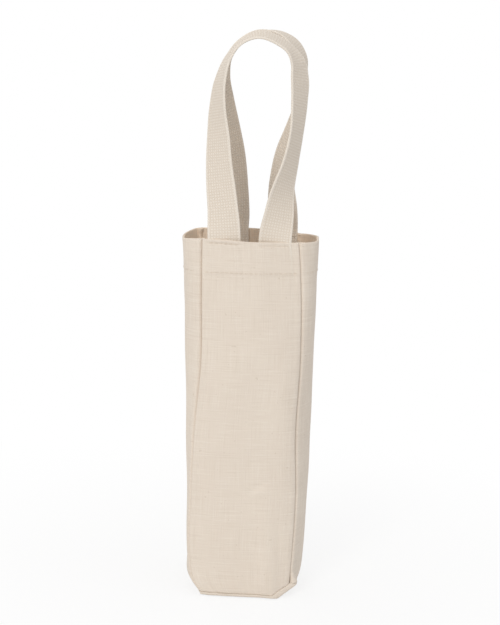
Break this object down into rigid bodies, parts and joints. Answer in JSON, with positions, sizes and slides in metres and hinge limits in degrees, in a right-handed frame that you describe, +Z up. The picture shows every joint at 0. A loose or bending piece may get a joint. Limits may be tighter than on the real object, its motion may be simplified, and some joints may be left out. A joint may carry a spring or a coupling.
{
  "type": "bottle carrier bag",
  "caption": "Tall open-topped canvas tote with side gussets, a square base and a pair of webbing handles that swing outward, for carrying one upright bottle.",
  "frame": {"origin": "on the floor, under the middle of the base", "axes": "+Z up along the bag, -Y towards the front panel, +X towards the right gusset"},
  "size_m": [0.101, 0.085, 0.428],
  "materials": {
    "canvas": "unbleached plain-weave cotton canvas",
    "webbing": "unbleached woven cotton webbing"
  },
  "bodies": {
    "bag": {"front_panel": "canvas", "back_panel": "canvas", "left_gusset": "canvas", "right_gusset": "canvas", "base_panel": "canvas", "front_handle_left_end": "webbing", "front_handle_right_end": "webbing", "back_handle_left_end": "webbing", "back_handle_right_end": "webbing"},
    "front_handle_loop": {"front_handle": "webbing"},
    "back_handle_loop": {"back_handle": "webbing"}
  },
  "joints": [
    {"name": "front_handle_swing", "type": "hinge", "parent": "bag", "child": "front_handle_loop", "pos_m": [0, -0.04009, 0.276], "axis": [1, 0, 0], "range_deg": [0, 170]},
    {"name": "back_handle_swing", "type": "hinge", "parent": "bag", "child": "back_handle_loop", "pos_m": [0, 0.04009, 0.276], "axis": [-1, 0, 0], "range_deg": [0, 170]}
  ]
}
